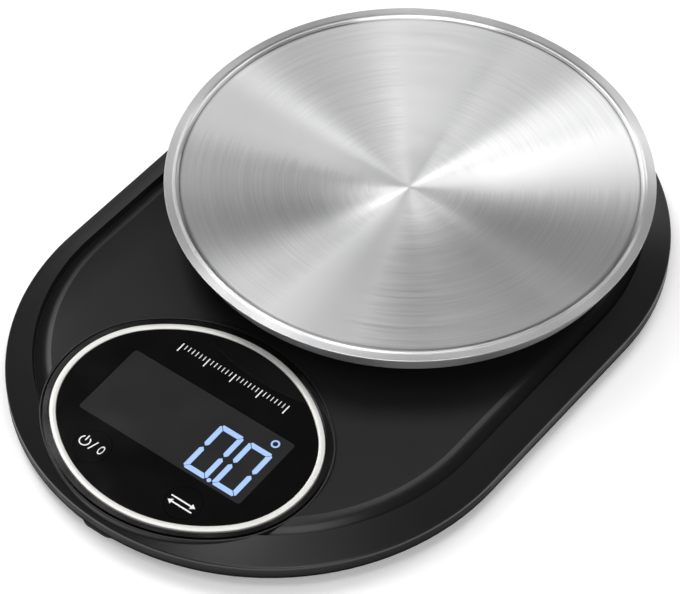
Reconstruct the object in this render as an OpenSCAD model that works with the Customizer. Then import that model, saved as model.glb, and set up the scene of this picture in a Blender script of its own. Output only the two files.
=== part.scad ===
// Digital precision scale: a low stadium-shaped base with an oval display and a round steel plate.
// Millimetres. Z is up, the feet stand on z = 0, the display is at the -Y end and the plate towards +Y.

/* [Base] */
// Width of the base across its straight sides
base_w = 169.6; // [162:0.2:184]
// Length of the base from front to back
base_l = 242.4; // [234:0.2:256]
// Height of the rubber feet
foot_h = 2.5; // [2:0.1:4]
// Height of the base's sharp upper edge above its underside
rim_h = 7.3; // [6.8:0.1:9]
// How far the side wall leans in from the rim to its lower edge
side_lean = 0.1; // [0:0.1:0.6]
// Height of the slope under the side wall
under_slope_h = 2.6; // [1.4:0.1:3]
// Width of the slope under the side wall
under_slope_w = 2; // [1:0.1:2.6]
// Depth of the upper housing's own edge
rim_edge_h = 1.2; // [0.8:0.1:1.6]
// Width of the sloping border inside the rim
border_w = 8.9; // [8:0.1:11]
// Rise of the sloping border
border_rise = 4.8; // [4.4:0.1:6]
// Width of the channel between border and flat top
channel_w = 5.9; // [4.5:0.1:6.5]
// Extra height of the flat top over the border
top_step = 0.8; // [0.2:0.1:1.2]
// Radius of the channel's round bottom
channel_r = 3.1; // [3.1:0.1:3.5]
// Wall of the upper housing
upper_wall = 2; // [1.6:0.1:2.2]
// Floor of the lower housing
floor_t = 2; // [2:0.1:2.2]
// Wall of the lower housing
lower_wall = 2.2; // [1.8:0.1:2.4]

// Distance of the front screws from the middle line
front_screw_x = 55.5; // [50:0.5:57]
// Distance of the front screws from the front end
front_screw_y = 60.5; // [56:0.5:64]
// Distance of the side screws from the edge
side_screw_inset = 22.8; // [20:0.5:26]
// Distance of the rear screws from the middle line
rear_screw_x = 30; // [24:0.5:34]
// Distance of the rear screws from the rear end
rear_screw_y = 27; // [25:0.5:32]
// Width of the recess for a label underneath
label_w = 52; // [30:1:56]
// Length of the recess for a label underneath
label_l = 34; // [20:1:36]
// Distance of the label recess from the middle line
label_x = 34; // [30:1:38]

/* [Feet] */
// Length of a foot along the edge
foot_l = 15; // [12:1:22]
// Width of a foot
foot_w = 9; // [6:0.5:10]
// Distance of the front foot from the underside's edge
front_foot_inset = 0.1; // [0.1:0.1:2]
// Distance of the side and rear feet from the underside's edge
foot_inset = 1.8; // [0.2:0.1:3]
// Place of the front foot across the base
front_foot_x = -4; // [-6:0.5:6]
// Place of the side feet, forward of the middle
side_foot_fwd = 10; // [0:1:20]
// Angle of the rear feet from the long axis
rear_foot_angle = 42; // [34:1:50]

/* [Plate] */
// Diameter of the steel plate
plate_d = 158.8; // [150:0.2:162]
// Height of the gap between the flat top and the plate's lower edge
plate_gap = 9.8; // [7.6:0.1:12]
// Height of the plate's skirt
skirt_h = 8; // [6:0.1:9]
// How far the skirt leans in
skirt_lean = 4; // [2:0.1:4.6]
// Thickness of the steel
steel_t = 0.7; // [0.5:0.05:1]
// Distance of the bead's crest from the plate's edge
bead_inset = 3.7; // [3:0.1:5]
// Radius of the bead's section
bead_r = 0.8; // [0.6:0.05:1]
// Width of the crease inside the bead
crease_w = 0.5; // [0.3:0.1:1]
// Depth of the crease at the dish's edge
crease_depth = 0.5; // [0.2:0.1:0.8]
// Slope of the dish, in degrees
dish_slope = 5; // [2:0.5:6]
// Diameter at which the dish's slope turns straight
dish_curve_d = 62; // [40:1:80]
// Height of the bead over the plate's edge
bead_rise = 0.4; // [0.2:0.05:0.5]
// Diameter of the flat middle of the dish
dish_flat_d = 20; // [10:1:36]
// Thickness of the foam tape under the plate
tape_t = 0.8; // [0.5:0.1:1.2]
// Outer diameter of the ring of foam tape
tape_d = 124; // [100:1:130]
// Width of the ring of foam tape
tape_w = 14; // [6:1:16]
// Thickness of the plastic tray
tray_t = 2; // [1.6:0.1:2.6]
// Depth of the tray's ribs
rib_h = 4; // [2:0.1:4.4]
// Thickness of the tray's ribs
rib_t = 1.6; // [1.2:0.1:2.4]
// Diameter of the tray's round rib
rib_ring_d = 78; // [70:1:100]
// Number of ribs
rib_count = 8; // [4:1:12]
// How far the tray's rim hangs below the steel skirt
tray_rim_h = 5; // [1:0.1:5.6]
// How far the tray's rim leans in
tray_lean = 4; // [1:0.1:5]

/* [Load cell] */
// Length of the load cell
cell_l = 60; // [56:1:70]
// Width of the load cell
cell_w = 12; // [10:0.5:14]
// Height of the load cell
cell_h = 6; // [5.6:0.1:6.4]
// Height of the space under the load cell
cell_lift = 1.8; // [1.4:0.1:2]
// Distance of the outer screw from the load cell's end
cell_screw_inset = 4; // [3:0.5:6]
// Distance between the two screws at an end
cell_screw_pitch = 9; // [8:0.5:10]
// Radius of the two round cut-outs in the load cell
cell_bore_r = 2.2; // [1.6:0.1:2.3]
// Distance between the two round cut-outs
cell_bore_pitch = 9; // [7:0.5:11]
// Radius of the load cell's screws
cell_screw_r = 1.5; // [1.25:0.05:1.6]
// Free travel of the plate at full load
travel = 0.5; // [0.3:0.05:0.8]
// Thickness of the white coating on the strain gauges
coating_t = 0.5; // [0.3:0.05:0.6]

/* [Display] */
// Half width of the silver ring
ring_a = 45.7; // [43:0.1:48]
// Half height of the silver ring
ring_b = 37.5; // [36.5:0.1:38.5]
// Radius of the ring's ends
ring_end_r = 31.8; // [30:0.1:33]
// Width of the silver ring
ring_w = 2.1; // [1.4:0.1:2.6]
// Width of the dark line round the ring
ring_gap = 0.5; // [0.3:0.1:0.8]
// Height of the silver ring
ring_h = 1.4; // [1:0.1:1.6]
// Width of the black bezel outside the ring
bezel_w = 2; // [1.8:0.1:2.2]
// Width of the dark line round the bezel
bezel_gap = 0.6; // [0.4:0.1:0.8]
// Width of the rim that stands round the bezel
collar_rim_w = 0.6; // [0.4:0.1:0.8]
// Distance of the display's collar from the front edge of the base
display_front = 1; // [0.6:0.1:4]
// Height of the display's middle above the rim
display_rise = 6.3; // [6.2:0.1:7]
// Tilt of the display towards the user
display_tilt = 3; // [0:0.5:3.5]
// Width of the display window
window_w = 64; // [58:0.5:66]
// Height of the display window
window_h = 28; // [25:0.5:29]
// Corner radius of the window
window_r = 1.2; // [0.5:0.1:3]
// Thickness of the black front panel
lens_t = 2; // [1.6:0.1:2.2]
// Height of the lit digits
digit_h = 20.4; // [16:0.2:22]
// Width of a lit digit
digit_w = 9.6; // [8:0.1:10.5]
// Stroke of a digit's bars
digit_stroke = 2; // [1.2:0.1:2.4]

/* [Keys] */
// Radius of a key
key_r = 6; // [5:0.1:6.2]
// Distance of each key from the middle line
key_x = 18; // [15:0.5:20]
// Distance of the keys below the middle of the display
key_drop = 23.4; // [22.6:0.1:24]
// Travel of a key
key_travel = 0.25; // [0.2:0.05:0.3]

/* [Circuit board] */
// Radius of the black cover over the chip
cover_r = 6.7; // [5:0.1:8]
// Distance of the chip cover from the display's middle line
cover_x = 12; // [11:0.5:14]
// Distance of the chip cover below the display's middle
cover_y = 8; // [6:0.5:9]
// Length of the converter chip
chip_l = 10; // [8:0.5:12]
// Width of the converter chip
chip_w = 4; // [3:0.5:5]
// Length of a capacitor
capacitor_l = 2; // [1.6:0.1:3.2]
// Width of a capacitor
capacitor_w = 1.25; // [0.8:0.05:1.6]
// Distance of the converter chip from the middle line
chip_x = 17; // [16:0.5:18]
// Distance of the converter chip above the display's middle
chip_y = 6; // [4:0.5:7]
// Distance of the left capacitors from the middle line
capacitor_left_x = 24; // [22:0.5:26]
// Distance of the right capacitors from the middle line
capacitor_right_x = 26; // [24:0.5:28]
// Distance of the capacitors from the display's middle, up or down
capacitor_y = 6; // [5:0.5:8]
// Width of a lead socket
socket_w = 8; // [7.5:0.1:9]
// Length of a lead socket
socket_l = 5.6; // [5:0.1:6]
// Height of a lead socket
socket_h = 3.6; // [3.4:0.1:3.8]
// Distance of each lead socket from the middle line
socket_x = 8; // [7:0.5:10]

/* [Battery] */
// Diameter of the coin cell
coin_d = 20; // [16:0.5:20]
// Thickness of the coin cell
coin_t = 3.2; // [2:0.1:3.4]
// Width of the battery door
door_w = 30; // [27:0.5:34]
// Length of the battery door
door_l = 26; // [25:0.5:30]
// Thickness of the battery door
door_t = 1.6; // [1.4:0.1:1.8]
// Place of the battery across the base
battery_x = 34; // [30:1:38]
// Place of the battery along the base
battery_y = -12; // [-16:1:-6]

/* [Hidden] */
$fn = 96;
eps = 0.01;

// Colours
black_plastic = [0.10, 0.10, 0.105];
steel_colour = [0.78, 0.78, 0.80];

// Clearances
thread_play = 0.02;
fit_gap = 0.1;
panel_gap = 0.15;
slack = 0.3;

// Base
rim_r = base_w / 2;
spine = (base_l - base_w) / 2;
under_z = foot_h;
floor_z = under_z + floor_t;
rim_z = under_z + rim_h;
seam_z = rim_z - rim_edge_h;
wall_foot_z = under_z + under_slope_h;
wall_foot_r = rim_r - side_lean;
under_r = wall_foot_r - under_slope_w;
seam_r = rim_r - side_lean * rim_edge_h / (rim_h - under_slope_h);
border_r = rim_r - border_w;
border_z = rim_z + border_rise;
top_r = border_r - channel_w;
top_z = border_z + top_step;
channel_mid_r = border_r - channel_w / 2;
channel_axis_z = top_z + 0.4;
lip_r = rim_r - 2.4;
inner_r = lip_r - 2.2;
slope = border_rise / border_w;

// Housing screws
post_r = 3.4;
boss_r = 3.8;
screw_r = 1.3;
screw_head_r = 2.5;
screw_head_h = 1.7;
boss_top_z = floor_z + 3;
post_depth = 4.4;
screw_half = [
  [front_screw_x, front_screw_y - base_l / 2],
  [base_w / 2 - side_screw_inset, 5],
  [rear_screw_x, base_l / 2 - rear_screw_y]
];
screw_spots = [for (side = [-1, 1], spot = screw_half) [side * spot[0], spot[1]]];

// Plate
plate_y = spine - 1.75;
plate_r = plate_d / 2;
skirt_z = top_z + plate_gap;
edge_z = skirt_z + skirt_h;
bead_centre_r = plate_r - bead_inset;
field_r = bead_centre_r - bead_r - crease_w;
dish_flat_r = dish_flat_d / 2;
dish_curve_r = dish_curve_d / 2;
dish_arc_r = (dish_curve_r - dish_flat_r) / sin(dish_slope);
dish_arc_rise = dish_arc_r * (1 - cos(dish_slope));
dish_rise = dish_arc_rise + (field_r - dish_curve_r) * tan(dish_slope);
dish_z = edge_z - crease_depth - dish_rise;
tray_top_z = dish_z - steel_t - tape_t;
rib_z = tray_top_z - tray_t - rib_h;
rib_inner_r = 8;
tray_r = plate_r - skirt_lean - steel_t - 0.8;
tray_ring_w = 2.4;
tray_cone_r = dish_curve_r - dish_arc_rise / tan(dish_slope);
tray_edge_z = tray_top_z + (tray_r - tray_cone_r) * tan(dish_slope);
tray_rim_z = skirt_z - tray_rim_h;
arc_fn = 720;

// Load cell
cell_z = floor_z + cell_lift;
cell_top_z = cell_z + cell_h;
cell_pad_l = cell_screw_inset + cell_screw_pitch + cell_screw_inset;
free_end_x = cell_l / 2 - cell_pad_l / 2;
hub_l = cell_pad_l + 3;
hub_w = cell_w + 2;
hub_gap = 1.5;
cell_head_r = 2.8;
cell_head_h = 1.8;
hub_floor_t = 4;

// Display, in its own tilted frame with z = 0 at the top of the ring
end_shift = ring_a - ring_end_r;
flank_r = (end_shift * end_shift + ring_b * ring_b - ring_end_r * ring_end_r) / (2 * (ring_b - ring_end_r));
flank_shift = flank_r - ring_b;
collar_in = bezel_w + bezel_gap;
collar_out = collar_in + collar_rim_w;
collar_t = 1.4;
display_y = -base_l / 2 + display_front + ring_b + collar_out;
display_z = rim_z + display_rise;
bezel_top = -0.3;
collar_top = -0.5;
cap_bottom = -2;
cap_seat = cap_bottom - 0.1;
lens_top = -0.15;
lens_bottom = lens_top - lens_t;
frame_bottom = lens_bottom - 1.45;
ledge_t = 1.4;
ledge_in = -3.9;
board_top = frame_bottom - ledge_t;
board_t = 1.6;
board_bottom = board_top - board_t;
board_in = -2.6;
board_back = 23;
lcd_w = window_w + 4;
lcd_h = window_h + 3;
lcd_t = 1.2;
window_top = lens_top - 0.2;
strip_w = 2;
post_x = key_x + 10;
post_y = lcd_h / 2 + 3.7;

// Keys
key_flange_r = key_r + 0.7;
key_flange_top = lens_bottom - 0.2;
key_flange_t = 0.7;
plunger_r = 1.2;
switch_w = 5.2;
switch_h = 1.5;

// Battery
door_z = under_z + door_t;
hinge_z = under_z + door_t / 2;
hinge_y = battery_y - door_l / 2 + slack + door_t / 2;
hinge_pin_r = 0.6;
hinge_pin_l = 1.5;
hinge_play = 0.05;
bay_z = door_z + 0.2;
coin_r = coin_d / 2;
bay_r = coin_r + slack;
coin_z = bay_z + slack;
contact_t = 0.3;
bay_top_z = coin_z + coin_t + 2 * contact_t;
bay_wall = 1.8;
bay_roof_t = 1.8;

// Sweeps a section round the base: x is the distance from the spine, y is the height
module around_base() {
  for (turn = [0, 180])
    rotate([0, 0, turn]) {
      translate([0, spine, 0]) rotate_extrude(angle = 180) children();
      rotate([90, 0, 0]) translate([0, 0, -spine]) linear_extrude(2 * spine) children();
    }
}

module rounded_bar(length, width) {
  square([length - width, width], center = true);
  for (side = [-1, 1]) translate([side * (length - width) / 2, 0]) circle(width / 2);
}

module rounded_square(w, h, r) {
  square([w - 2 * r, h], center = true);
  square([w, h - 2 * r], center = true);
  for (x = [-1, 1], y = [-1, 1])
    translate([x * (w / 2 - r), y * (h / 2 - r)]) circle(r, $fn = 48);
}

// The ring's outline made of four arcs, moved outwards by grow
module oval(grow) {
  reach = (flank_r + grow) * end_shift / (flank_r - ring_end_r);
  for (side = [-1, 1]) translate([side * end_shift, 0]) circle(ring_end_r + grow);
  intersection() {
    translate([0, -flank_shift]) circle(flank_r + grow);
    translate([0, flank_shift]) circle(flank_r + grow);
    square([2 * reach, 3 * ring_b], center = true);
  }
}

module on_display(z = 0) {
  translate([0, display_y, display_z]) rotate([display_tilt, 0, 0]) translate([0, 0, z]) children();
}

module oval_plate(grow, low, high) {
  translate([0, 0, low]) linear_extrude(high - low) oval(grow);
}

module foot_spots() {
  reach = under_r - foot_inset - foot_w / 2;
  front_reach = under_r - front_foot_inset - foot_w / 2;
  translate([front_foot_x, -spine - front_reach, 0]) children();
  for (side = [-1, 1]) {
    translate([side * reach, -side_foot_fwd, 0]) rotate([0, 0, 90]) children();
    translate([0, spine, 0]) rotate([0, 0, -side * rear_foot_angle]) translate([0, reach, 0]) children();
  }
}

module cell_screw_spots(side) {
  for (step = [0, 1])
    translate([side * (cell_l / 2 - cell_screw_inset - step * cell_screw_pitch), plate_y, 0]) children();
}

// Base

module lower_housing() {
  color(black_plastic) difference() {
    union() {
      around_base() polygon([
        [0, under_z],
        [under_r, under_z],
        [wall_foot_r, wall_foot_z],
        [seam_r, seam_z],
        [lip_r - slack, seam_z],
        [lip_r - slack, seam_z + 0.3],
        [inner_r, seam_z + 0.3],
        [inner_r, floor_z],
        [0, floor_z]
      ]);
      for (spot = screw_spots) translate([spot[0], spot[1], under_z])
        cylinder(r = boss_r, h = boss_top_z - under_z);
      translate([-cell_l / 2 - 1, plate_y - cell_w / 2 - 1, floor_z - eps])
        cube([cell_pad_l + 1, cell_w + 2, cell_lift + eps]);
      translate([free_end_x, plate_y, floor_z - eps])
        cylinder(r = 3, h = cell_lift - travel - 0.1 + eps);
      battery_bay();
    }
    for (spot = screw_spots) translate([spot[0], spot[1], under_z - 1]) {
      cylinder(r = screw_r + slack, h = boss_top_z);
      cylinder(r = screw_head_r + slack, h = 1 + screw_head_h + 0.4);
    }
    cell_screw_spots(-1) translate([0, 0, under_z - 1]) {
      cylinder(r = cell_screw_r + fit_gap, h = cell_z);
      cylinder(r = cell_head_r + slack, h = 1 + cell_head_h + 0.2);
    }
    battery_opening();
    // Bare recess where a rating label would go
    translate([-label_x, battery_y - 12, under_z - 1])
      linear_extrude(1.3) rounded_square(label_w, label_l, 2);
  }
}

module battery_bay() {
  translate([battery_x, battery_y, floor_z - eps])
    linear_extrude(bay_top_z + bay_roof_t - floor_z) rounded_square(door_w + 2 * bay_wall, door_l + 2 * bay_wall, 1);
}

module battery_opening() {
  translate([battery_x, battery_y, 0]) {
    translate([0, 0, under_z - 1])
      linear_extrude(bay_z - under_z + 1) rounded_square(door_w, door_l, 0.6);
    translate([0, 0, bay_z - eps]) cylinder(r = bay_r, h = bay_top_z - bay_z + eps);
    // Slots for the two contacts
    translate([-door_w, -2.2, bay_top_z - 2 * contact_t - eps])
      cube([door_w, 4.4, 2 * contact_t + eps]);
    translate([-3.2, 0, bay_z + 1]) cube([6.4, bay_r + 0.7, bay_top_z - bay_z - 1]);
    translate([-2.2, 0, bay_top_z - 2 * contact_t - eps]) cube([4.4, door_l, 2 * contact_t + eps]);
  }
  // Sockets for the door's pins
  translate([battery_x, hinge_y, hinge_z]) rotate([0, 90, 0])
    cylinder(r = hinge_pin_r + hinge_play, h = door_w + 2 * hinge_pin_l, center = true);
}

module upper_section() {
  difference() {
    intersection() {
      union() {
        polygon([
          [0, top_z - upper_wall],
          [0, top_z + 1],
          [rim_r, top_z + 1],
          [rim_r, seam_z],
          [lip_r, seam_z],
          [lip_r, rim_z + (rim_r - lip_r) * slope - upper_wall - 0.2],
          [border_r, border_z - upper_wall - 0.2],
          [top_r, top_z - upper_wall]
        ]);
        translate([channel_mid_r, channel_axis_z]) circle(channel_r + upper_wall - 0.2);
      }
      polygon([
        [0, 0], [0, top_z], [top_r, top_z], [border_r, border_z], [rim_r, rim_z], [rim_r, 0]
      ]);
    }
    translate([channel_mid_r, channel_axis_z]) circle(channel_r);
  }
}

module upper_housing() {
  color(black_plastic) difference() {
    union() {
      around_base() upper_section();
      for (spot = screw_spots) translate([spot[0], spot[1], boss_top_z])
        cylinder(r = post_r, h = top_z - upper_wall / 2 - boss_top_z);
      // Collar and ledge that carry the display, kept above the lower housing's lip
      intersection() {
        on_display() oval_plate(collar_out, board_top, collar_top);
        translate([-base_w, -base_l, seam_z + 0.6]) cube([2 * base_w, 2 * base_l, base_w]);
      }
    }
    on_display() {
      oval_plate(collar_out - collar_t, frame_bottom, 20);
      oval_plate(collar_in, cap_seat, 20);
      oval_plate(ledge_in, board_top - 20, 20);
    }
    for (spot = screw_spots) translate([spot[0], spot[1], boss_top_z - 1])
      cylinder(r = screw_r + thread_play, h = 1 + post_depth);
    // Opening for the tray's hub
    translate([free_end_x, plate_y, 0])
      linear_extrude(top_z + 1) rounded_square(hub_l + 2 * hub_gap, hub_w + 2 * hub_gap, 2);
  }
}

module screw(r, head_r, head_h, length) {
  difference() {
    union() {
      cylinder(r = head_r, h = head_h);
      translate([0, 0, head_h - eps]) cylinder(r = r, h = length + eps);
    }
    // Cross recess
    for (turn = [0, 90]) rotate([0, 0, turn])
      translate([-head_r * 0.6, -head_r * 0.12, -1]) cube([head_r * 1.2, head_r * 0.24, 1 + head_h * 0.5]);
  }
}

module housing_screws() {
  head_z = under_z + 0.4;
  for (spot = screw_spots) color("dimgray") translate([spot[0], spot[1], head_z])
    screw(screw_r, screw_head_r, screw_head_h, boss_top_z + post_depth - 0.4 - head_z - screw_head_h);
}

module rubber_feet() {
  color([0.16, 0.16, 0.17]) foot_spots() linear_extrude(foot_h) rounded_bar(foot_l, foot_w);
}

// Load cell

module load_cell() {
  color([0.80, 0.80, 0.82]) difference() {
    translate([-cell_l / 2, plate_y - cell_w / 2, cell_z]) cube([cell_l, cell_w, cell_h]);
    for (side = [-1, 1]) {
      translate([side * cell_bore_pitch / 2, plate_y, cell_z + cell_h / 2])
        rotate([90, 0, 0]) cylinder(r = cell_bore_r, h = cell_w + 2, center = true);
      cell_screw_spots(side) translate([0, 0, cell_z - 1]) cylinder(r = cell_screw_r + thread_play, h = cell_h + 2);
    }
    translate([0, plate_y, cell_z + cell_h / 2]) cube([cell_bore_pitch, cell_w + 2, 1.2], center = true);
  }
}

module gauge_coating() {
  color("white") translate([0, plate_y, 0])
    for (low = [cell_z - coating_t, cell_top_z]) translate([0, 0, low])
      linear_extrude(coating_t) rounded_square(cell_bore_pitch + 8, cell_w - 1, 1.5);
}

module cell_screws() {
  head_z = under_z + 0.2;
  color("silver") cell_screw_spots(-1) translate([0, 0, head_z])
    screw(cell_screw_r, cell_head_r, cell_head_h, cell_top_z - 0.6 - head_z - cell_head_h);
}

// Platform

// Space under the tray's upper face, lowered by drop, down to low
module tray_section(r, drop, low) {
  polygon([
    [0, low],
    [0, tray_top_z - drop],
    [tray_cone_r, tray_top_z - drop],
    [r, tray_top_z - drop + (r - tray_cone_r) * tan(dish_slope)],
    [r, low]
  ]);
}

module platform_tray() {
  wall_r = tray_r - tray_ring_w;
  color(black_plastic) translate([0, plate_y, 0]) difference() {
    union() {
      rotate_extrude() difference() {
        polygon([
          [0, tray_rim_z],
          [0, tray_top_z],
          [tray_cone_r, tray_top_z],
          [tray_r, tray_edge_z],
          [tray_r, skirt_z],
          [tray_r - tray_lean, tray_rim_z]
        ]);
        tray_section(wall_r, tray_t, skirt_z);
        polygon([
          [-1, tray_rim_z - 1],
          [-1, skirt_z + eps],
          [wall_r, skirt_z + eps],
          [wall_r, skirt_z],
          [wall_r - tray_lean, tray_rim_z],
          [wall_r - tray_lean, tray_rim_z - 1]
        ]);
      }
      translate([free_end_x, 0, cell_top_z])
        linear_extrude(tray_top_z - tray_t + eps - cell_top_z) rounded_square(hub_l, hub_w, 1.5);
      intersection() {
        union() {
          for (k = [0 : rib_count - 1]) rotate([0, 0, (k + 0.5) * 360 / rib_count])
            translate([rib_inner_r, -rib_t / 2, rib_z])
              cube([wall_r - tray_lean - rib_inner_r + 0.5, rib_t, 20]);
          translate([0, 0, rib_z]) rotate_extrude() translate([rib_ring_d / 2, 0]) square([rib_t, 20]);
        }
        rotate_extrude() tray_section(wall_r, tray_t / 2, rib_z);
      }
    }
    translate([0, -plate_y, 0]) cell_screw_spots(1) {
      translate([0, 0, cell_top_z - 1]) cylinder(r = cell_screw_r + fit_gap, h = 20);
      translate([0, 0, cell_top_z + hub_floor_t]) cylinder(r = cell_head_r + slack, h = 20);
    }
  }
}

module platform_screws() {
  color("silver") cell_screw_spots(1) translate([0, 0, cell_top_z + hub_floor_t + cell_head_h])
    mirror([0, 0, 1]) screw(cell_screw_r, cell_head_r, cell_head_h, hub_floor_t + cell_h - 0.6);
}

module plate_tape() {
  out = tape_d / 2;
  in = out - tape_w;
  rise = tan(dish_slope);
  color([0.92, 0.92, 0.90]) translate([0, plate_y, tray_top_z]) rotate_extrude() polygon([
    [in, (in - tray_cone_r) * rise],
    [out, (out - tray_cone_r) * rise],
    [out, (out - tray_cone_r) * rise + tape_t],
    [in, (in - tray_cone_r) * rise + tape_t]
  ]);
}

// The section under the plate's surface, lowered by drop, drawn in at the skirt and open below by low
module plate_section(drop, low = 0) {
  lean = skirt_lean / skirt_h;
  difference() {
    polygon([
      [0, skirt_z - low],
      [0, edge_z - drop],
      [plate_r - drop - lean * drop, edge_z - drop],
      [plate_r - drop - lean * (skirt_h + low), skirt_z - low]
    ]);
    translate([0, dish_z - drop]) {
      translate([-1, 0]) square([dish_flat_r + 1, 20]);
      intersection() {
        translate([dish_flat_r, dish_arc_r]) circle(dish_arc_r, $fn = arc_fn);
        translate([dish_flat_r - eps, 0]) square([dish_curve_r - dish_flat_r + 2 * eps, 20]);
      }
      polygon([
        [dish_curve_r, dish_arc_rise],
        [field_r, dish_rise],
        [field_r, 20],
        [dish_curve_r, 20]
      ]);
    }
  }
}

module weighing_plate() {
  color(steel_colour) translate([0, plate_y, 0]) {
    rotate_extrude($fn = 180) difference() {
      plate_section(0);
      plate_section(steel_t, 1);
    }
    // Bead round the edge
    rotate_extrude($fn = 180) intersection() {
      translate([bead_centre_r, edge_z + bead_rise - bead_r]) circle(bead_r, $fn = 48);
      translate([0, edge_z - steel_t / 2]) square([plate_r, 3]);
    }
  }
}

// Battery

module battery_door() {
  panel_w = door_w - 2 * slack;
  far_y = battery_y + door_l / 2 - slack;
  color(black_plastic) difference() {
    union() {
      translate([battery_x - panel_w / 2, hinge_y, under_z]) cube([panel_w, far_y - hinge_y, door_t]);
      translate([battery_x, hinge_y, hinge_z]) rotate([0, 90, 0]) {
        cylinder(r = door_t / 2, h = panel_w, center = true);
        cylinder(r = hinge_pin_r, h = door_w + 2 * hinge_pin_l - 0.4, center = true);
      }
      // Pad that keeps the coin cell in place
      translate([battery_x, battery_y, door_z - eps]) cylinder(r = 4, h = coin_z - door_z - fit_gap + eps);
    }
    // Finger notch at the free edge
    translate([battery_x, far_y, under_z - 1]) cylinder(r = 5, h = 1.7);
    // Three grip lines
    for (step = [0 : 2]) translate([battery_x - 5, far_y - 8 - 2 * step, under_z - 1]) cube([10, 0.8, 1.3]);
  }
}

module coin_cell() {
  color("silver") translate([battery_x, battery_y, coin_z]) {
    cylinder(r = coin_r, h = coin_t - 0.6);
    cylinder(r = coin_r - 1.4, h = coin_t);
  }
}

module negative_contact() {
  top = bay_top_z - fit_gap / 2;
  color("gold") translate([battery_x, battery_y, 0]) {
    translate([-door_w / 2 - bay_wall - 1.5, -1.8, top - contact_t])
      cube([door_w / 2 + bay_wall + 5.5, 3.6, contact_t]);
    translate([0, 0, coin_z + coin_t]) cylinder(r = 1.4, h = top - coin_z - coin_t - contact_t / 2, $fn = 48);
  }
}

module positive_contact() {
  top = bay_top_z - fit_gap / 2;
  color("gold") translate([battery_x, battery_y, 0]) {
    translate([-2.8, coin_r, coin_z + 0.8]) cube([5.6, contact_t, top - coin_z - 0.8]);
    translate([-1.8, coin_r, top - contact_t + eps]) cube([3.6, door_l / 2 + bay_wall + 1.5 - coin_r, contact_t - eps]);
  }
}

// Display

module display_frame() {
  color([0.07, 0.07, 0.075]) on_display() difference() {
    union() {
      oval_plate(bezel_w, cap_bottom, bezel_top);
      oval_plate(collar_out - collar_t - 0.2, frame_bottom, cap_bottom + eps);
      frame_posts(board_top) cylinder(r = 2.2, h = frame_bottom - board_top + eps);
    }
    oval_plate(fit_gap, -ring_h, 1);
    oval_plate(ring_gap, bezel_top - 0.6, 1);
    oval_plate(-ring_w, lens_bottom, 1);
    translate([0, 0, frame_bottom - 1]) linear_extrude(5) square([lcd_w + 0.4, lcd_h + 0.4], center = true);
    for (side = [-1, 1]) translate([side * key_x, -key_drop, frame_bottom - 1])
      cylinder(r = key_flange_r + slack, h = 5);
    frame_posts(board_top - 1) cylinder(r = 1 + thread_play, h = 1 + lens_bottom - 0.4 - board_top);
  }
}

module frame_posts(z) {
  for (x = [-1, 1], y = [-1, 1]) translate([x * post_x, y * post_y, z]) children();
}

module display_ring() {
  color([0.88, 0.88, 0.86]) on_display() difference() {
    oval_plate(0, -ring_h, 0);
    oval_plate(-ring_w, -ring_h - 1, 1);
  }
}

module display_lens() {
  color([0.03, 0.03, 0.035]) on_display() difference() {
    oval_plate(-ring_w - fit_gap, lens_bottom, lens_top);
    translate([0, 0, lens_bottom - 1]) linear_extrude(lens_t + 2)
      rounded_square(window_w, window_h, window_r);
    for (side = [-1, 1]) translate([side * key_x, -key_drop, lens_bottom - 1])
      cylinder(r = key_r + panel_gap, h = lens_t + 2);
  }
}

module display_window() {
  color([0.18, 0.18, 0.185]) on_display(lens_bottom) linear_extrude(window_top - lens_bottom)
    rounded_square(window_w - fit_gap, window_h - fit_gap, window_r);
}

// One bar of a digit, lying along X, with pointed ends
module bar(length) {
  half = length / 2;
  tip = digit_stroke / 2;
  polygon([[-half, 0], [tip - half, tip], [half - tip, tip], [half, 0], [half - tip, -tip], [tip - half, -tip]]);
}

// The figure zero: every bar except the middle one
module zero() {
  gap = 0.35;
  across = digit_w - digit_stroke;
  down = (digit_h - digit_stroke) / 2;
  for (side = [-1, 1]) {
    translate([0, side * down]) bar(across - gap);
    for (end = [-1, 1]) translate([side * across / 2, end * down / 2]) rotate(90) bar(down - gap);
  }
}

module lit_digits() {
  pitch = digit_w + 1.6;
  right = window_w / 2 - 7.6;
  base = -window_h / 2 + 0.9;
  color([0.62, 0.80, 0.98]) on_display(window_top) linear_extrude(0.1) {
    for (place = [0, 1]) translate([right - place * pitch, base + digit_h / 2]) zero();
    translate([right - pitch / 2, base + 1]) circle(0.8, $fn = 32);
    // Small ring over the last digit that shows a steady reading
    translate([right + 2.2, window_h / 2 - 3.4]) difference() {
      circle(1.5, $fn = 32);
      circle(0.8, $fn = 32);
    }
  }
}

module lcd_glass() {
  color([0.35, 0.40, 0.42]) on_display(lens_bottom - lcd_t) linear_extrude(lcd_t)
    square([lcd_w, lcd_h], center = true);
}

module backlight() {
  color([0.90, 0.93, 0.96]) on_display(board_top) translate([-lcd_w / 2, -lcd_h / 2 + strip_w + 0.6, 0])
    cube([lcd_w, lcd_h - strip_w - 0.6, lens_bottom - lcd_t - board_top]);
}

module contact_strip() {
  color([0.45, 0.45, 0.50]) on_display(board_top) translate([-lcd_w / 2 + 2, -lcd_h / 2, 0])
    cube([lcd_w - 4, strip_w, lens_bottom - lcd_t - board_top]);
}

module circuit_board() {
  color([0.05, 0.35, 0.18]) on_display() difference() {
    intersection() {
      oval_plate(board_in, board_bottom, board_top);
      translate([-base_w, board_back - base_w, board_bottom - 1]) cube([2 * base_w, base_w, board_t + 2]);
    }
    frame_posts(board_bottom - 1) cylinder(r = 1 + fit_gap, h = board_t + 2);
  }
}

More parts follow.
